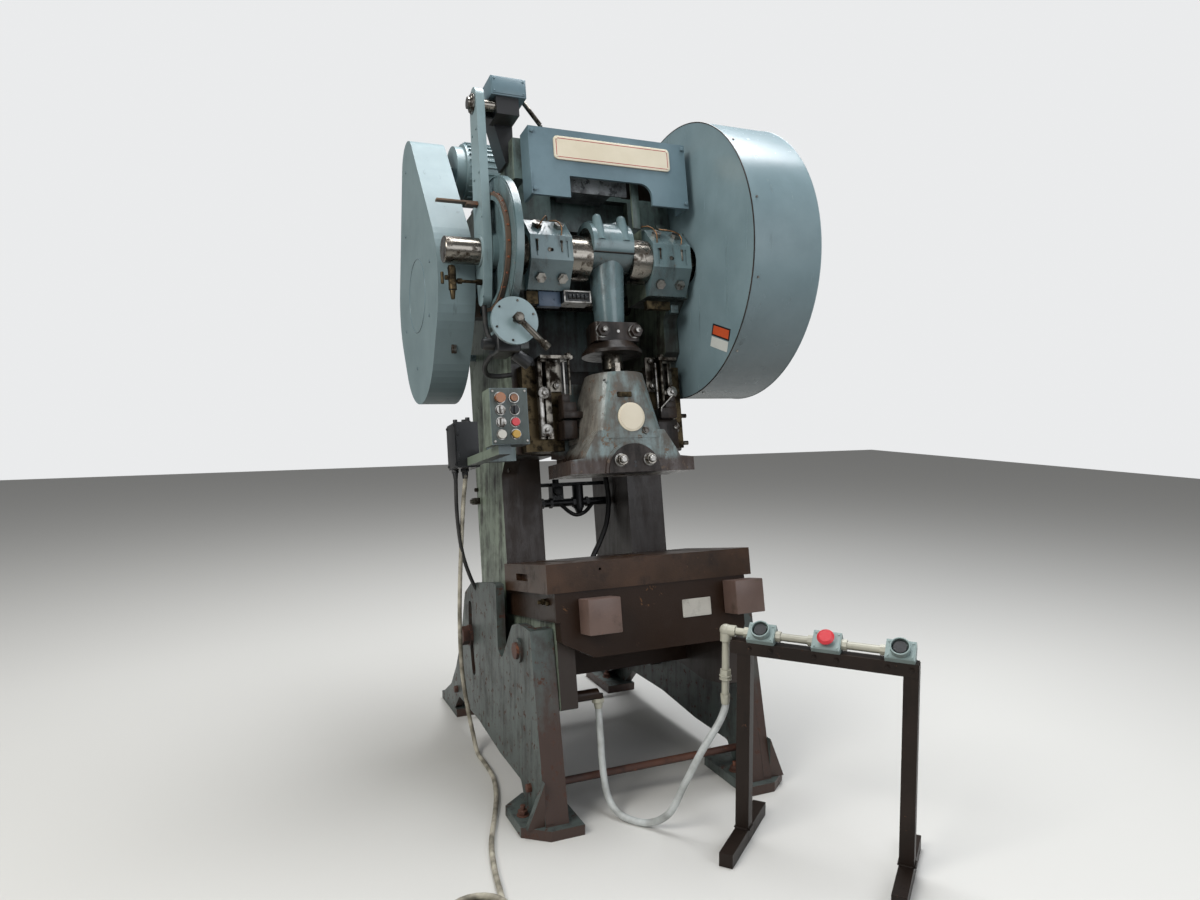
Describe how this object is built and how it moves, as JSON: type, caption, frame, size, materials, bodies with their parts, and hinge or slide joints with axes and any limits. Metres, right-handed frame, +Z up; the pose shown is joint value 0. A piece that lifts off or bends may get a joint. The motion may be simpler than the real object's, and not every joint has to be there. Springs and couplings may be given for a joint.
{
  "type": "geared inclinable stamping press",
  "caption": "Open-back mechanical press leaned back between two legs, with crank-driven ram, geared drive under guards, control panel and a two-hand operator stand.",
  "frame": {"origin": "on the floor, midway between the outer edges of the feet from front to back and midway between the legs", "axes": "+X to the operator's right, +Y to the back, +Z up"},
  "size_m": [1.583, 2.2699, 2.6942],
  "materials": {
    "cast_green": "worn satin enamel with grime",
    "guard_green": "worn satin enamel",
    "cover_blue": "worn satin enamel",
    "oily_cast": "oily, grimy",
    "steel": "machined, oiled",
    "bronze": "dull bronze",
    "black": "matte",
    "rubber": "matte",
    "galvanised": "dull galvanised",
    "lamp_orange": "gloss",
    "white": "satin",
    "red": "satin",
    "yellow": "satin",
    "cable_grey": "dusty"
  },
  "bodies": {
    "base": {"left_leg": "cast_green", "right_leg": "cast_green", "leg_ties": "oily_cast", "stand": "oily_cast", "button_boxes": "guard_green", "stand_conduit": "galvanised", "flex_conduit": "galvanised", "power_cable": "cable_grey", "power_coil": "cable_grey", "power_plug": "black"},
    "press body": {"clamp_bolts": "oily_cast", "frame": "cast_green", "cross_members": "cast_green", "bolster": "oily_cast", "bolster_bolts": "oily_cast", "bearing_bushes": "bronze", "bearing_caps": "guard_green", "cap_bolts": "steel", "gibs": "bronze", "gib_straps": "steel", "brake_band": "oily_cast", "motor": "guard_green", "v_belts": "rubber", "gear_guard": "guard_green", "belt_guard": "guard_green", "crown_cover": "cover_blue", "oil_tank": "steel", "chain_case": "guard_green", "limit_switch": "black", "air_valve": "guard_green", "control_panel": "cast_green", "panel_lamps": "lamp_orange", "stroke_counter": "steel", "oiler": "bronze", "power_box": "black", "air_unit": "black"},
    "crank": {"crankshaft": "steel", "brake_drum": "guard_green", "bull_gear": "oily_cast"},
    "pitman": {"pitman": "guard_green", "pitman_bolts": "guard_green", "adjusting_screw": "steel", "clamp_collar": "oily_cast"},
    "ram": {"ram": "cast_green", "ram_clamp": "oily_cast", "ram_bolts": "steel"},
    "pinion shaft": {"pinion_shaft": "steel"},
    "flywheel": {"flywheel": "oily_cast"},
    "motor sheave": {"motor_sheave": "oily_cast"},
    "cam shaft": {"cam_shaft": "steel"},
    "valve handle": {"valve_handle": "oily_cast"},
    "upper selector": {"upper_selector": "steel"},
    "lower selector": {"lower_selector": "steel"},
    "key switch": {"key_switch": "black"},
    "white button": {"white_button": "white"},
    "red button": {"red_button": "red"},
    "yellow button": {"yellow_button": "yellow"},
    "left palm button": {"left_palm_button": "black"},
    "right palm button": {"right_palm_button": "black"},
    "stop button": {"stop_button": "red"}
  },
  "joints": [
    {"name": "body_incline", "type": "hinge", "parent": "base", "child": "press body", "pos_m": [0, -0.445, 0.57], "axis": [1, 0, 0], "range_deg": [-12, 10], "deforming": ["flex_conduit", "power_cable"]},
    {"name": "crank_turn", "type": "hinge", "parent": "press body", "child": "crank", "pos_m": [0, -0.18394, 2.02172], "axis": [-1, 0, 0], "range_deg": [0, 180]},
    {"name": "ram_slide", "type": "slide", "parent": "press body", "child": "ram", "axis": [0, -0.1736, -0.9848], "range_m": [0, 0.09]},
    {"name": "pitman_swing", "type": "hinge", "parent": "crank", "child": "pitman", "pos_m": [0, -0.17613, 2.06604], "axis": [-1, 0, 0], "range_deg": [-180, 0]},
    {"name": "backshaft_turn", "type": "hinge", "parent": "press body", "child": "pinion shaft", "pos_m": [0, 0.23683, 1.89308], "axis": [-1, 0, 0], "range_deg": [-810, 0]},
    {"name": "cam_shaft_turn", "type": "hinge", "parent": "press body", "child": "cam shaft", "pos_m": [-0.468, -0.11011, 2.58445], "axis": [-1, 0, 0], "range_deg": [0, 180]},
    {"name": "flywheel_spin", "type": "hinge", "parent": "press body", "child": "flywheel", "pos_m": [-0.5875, 0.23683, 1.89308], "axis": [1, 0, 0], "continuous": true},
    {"name": "motor_spin", "type": "hinge", "parent": "press body", "child": "motor sheave", "pos_m": [-0.4, 0.39697, 2.44427], "axis": [1, 0, 0], "continuous": true},
    {"name": "valve_turn", "type": "hinge", "parent": "press body", "child": "valve handle", "pos_m": [-0.458, -0.42964, 1.75128], "axis": [0, -0.9848, 0.1736], "range_deg": [-45, 45]},
    {"name": "upper_selector_turn", "type": "hinge", "parent": "press body", "child": "upper selector", "pos_m": [-0.523, -0.44987, 1.43499], "axis": [0, -0.9848, 0.1736], "range_deg": [-45, 45]},
    {"name": "lower_selector_turn", "type": "hinge", "parent": "press body", "child": "lower selector", "pos_m": [-0.523, -0.45734, 1.39264], "axis": [0, -0.9848, 0.1736], "range_deg": [-45, 45]},
    {"name": "key_switch_turn", "type": "hinge", "parent": "press body", "child": "key switch", "pos_m": [-0.471, -0.44987, 1.43499], "axis": [0, -0.9848, 0.1736], "range_deg": [-45, 45]},
    {"name": "white_button_push", "type": "slide", "parent": "press body", "child": "white button", "axis": [0, 0.9848, -0.1736], "range_m": [0, 0.005], "stiffness_N_per_m": 800, "springref_m": -0.002},
    {"name": "red_button_push", "type": "slide", "parent": "press body", "child": "red button", "axis": [0, 0.9848, -0.1736], "range_m": [0, 0.005], "stiffness_N_per_m": 800, "springref_m": -0.002},
    {"name": "yellow_button_push", "type": "slide", "parent": "press body", "child": "yellow button", "axis": [0, 0.9848, -0.1736], "range_m": [0, 0.005], "stiffness_N_per_m": 800, "springref_m": -0.002},
    {"name": "left_palm_button_push", "type": "slide", "parent": "base", "child": "left palm button", "axis": [0.5417, 0.4545, -0.7071], "range_m": [0, 0.006], "stiffness_N_per_m": 1500, "springref_m": -0.002},
    {"name": "right_palm_button_push", "type": "slide", "parent": "base", "child": "right palm button", "axis": [0.5417, 0.4545, -0.7071], "range_m": [0, 0.006], "stiffness_N_per_m": 1500, "springref_m": -0.002},
    {"name": "stop_button_push", "type": "slide", "parent": "base", "child": "stop button", "axis": [0.5417, 0.4545, -0.7071], "range_m": [0, 0.006], "stiffness_N_per_m": 1500, "springref_m": -0.002}
  ],
  "couplings": [
    {"joint": "ram_slide", "follows": "crank_turn", "m_per_rad": 0.028648},
    {"joint": "pitman_swing", "follows": "crank_turn", "ratio": -1},
    {"joint": "backshaft_turn", "follows": "crank_turn", "ratio": -4.5},
    {"joint": "cam_shaft_turn", "follows": "crank_turn", "ratio": 1},
    {"joint": "motor_spin", "follows": "flywheel_spin", "ratio": 4.2949}
  ]
}
